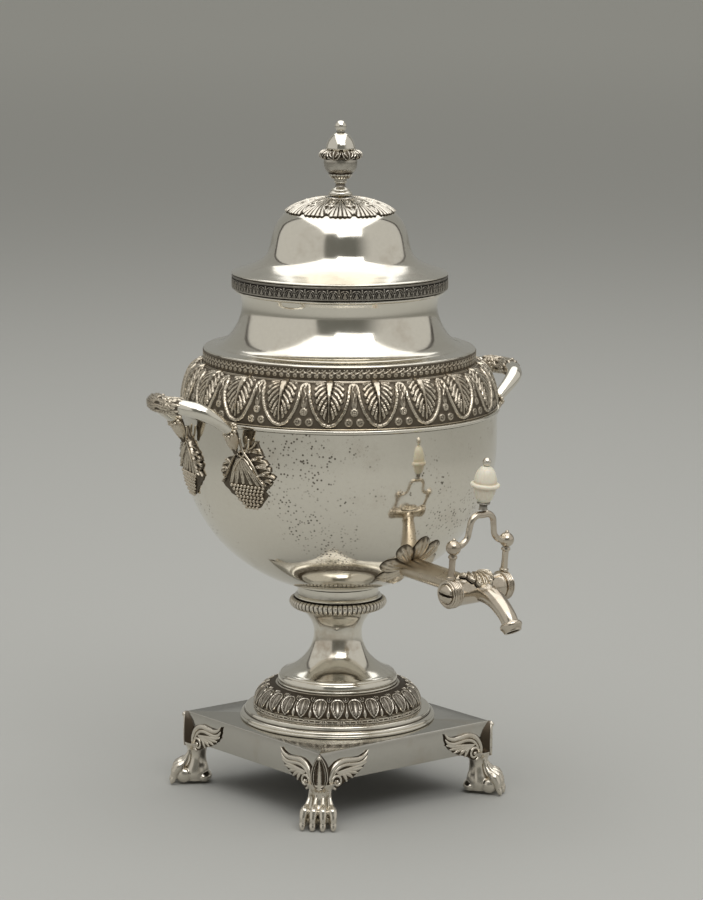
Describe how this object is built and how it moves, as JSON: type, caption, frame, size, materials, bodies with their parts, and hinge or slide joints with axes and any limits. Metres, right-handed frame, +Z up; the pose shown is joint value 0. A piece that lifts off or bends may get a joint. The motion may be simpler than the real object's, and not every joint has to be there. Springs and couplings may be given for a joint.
{
  "type": "tea urn",
  "caption": "Silver tea urn: domed lid with finial, round bowl, two grip handles, lever tap with ivory knob, pedestal on a square plinth with winged paw feet.",
  "frame": {"origin": "middle of the outer box, on the plane of the feet's soles", "axes": "+Z up; the tap points along -Y and the handles stand out along +X and -X"},
  "size_m": [0.2968, 0.2852, 0.4449],
  "materials": {
    "silver": "polished silver, worn",
    "tarnished_silver": "cast and chased silver, dark in its recesses",
    "ivory": "polished ivory",
    "iron": "bare, dark",
    "brass": "turned, plain"
  },
  "bodies": {
    "urn_body": {"acanthus_frieze": "tarnished_silver", "base_step": "silver", "bowl_collar": "silver", "bowl_shell": "silver", "foot_back_left": "tarnished_silver", "foot_back_right": "tarnished_silver", "foot_front_left": "tarnished_silver", "foot_front_right": "tarnished_silver", "fret_band": "tarnished_silver", "frieze_wire": "silver", "gadroon_ring": "silver", "handle_left_back_leaf": "tarnished_silver", "handle_left_back_socket": "silver", "handle_left_front_leaf": "tarnished_silver", "handle_left_front_socket": "silver", "handle_left_grip": "silver", "handle_left_vine_wrap": "tarnished_silver", "handle_right_back_leaf": "tarnished_silver", "handle_right_back_socket": "silver", "handle_right_front_leaf": "tarnished_silver", "handle_right_front_socket": "silver", "handle_right_grip": "silver", "handle_right_vine_wrap": "tarnished_silver", "heater_sleeve": "silver", "lotus_ring": "silver", "neck_rim": "silver", "neck_shell": "silver", "pedestal_fillet": "silver", "pedestal_stem": "silver", "plinth": "silver", "spout_lip": "silver", "tap_barrel": "silver", "tap_pipe": "silver", "tap_rosette": "tarnished_silver", "tap_shell_ornament": "tarnished_silver", "tap_spout": "silver"},
    "lid": {"lid_shell": "silver", "lid_rim_band": "silver", "lid_bezel": "silver", "lid_leaf_calyx": "tarnished_silver", "finial_foot": "silver", "finial_cup": "silver", "finial_leaf_collar": "tarnished_silver", "finial_bud": "tarnished_silver", "finial_ball": "silver", "finial_nut": "brass", "finial_stud": "brass"},
    "tap_key": {"tap_plug": "brass", "key_leg_left": "silver", "key_leg_right": "silver", "key_screw_left": "silver", "key_screw_right": "silver", "lever_yoke": "silver", "knob_socket": "tarnished_silver", "ivory_knob": "ivory", "knob_ball": "silver"},
    "heater": {"heater_iron": "iron", "heater_eye": "iron"}
  },
  "joints": [
    {"name": "lid_lift", "type": "slide", "parent": "urn_body", "child": "lid", "axis": [0, 0, 1], "range_m": [0, 0.08]},
    {"name": "tap_turn", "type": "hinge", "parent": "urn_body", "child": "tap_key", "pos_m": [0, -0.10221, 0.1586], "axis": [1, 0, 0], "range_deg": [0, 84]},
    {"name": "heater_lift", "type": "slide", "parent": "urn_body", "child": "heater", "axis": [0, 0, 1], "range_m": [0, 0.09]}
  ]
}
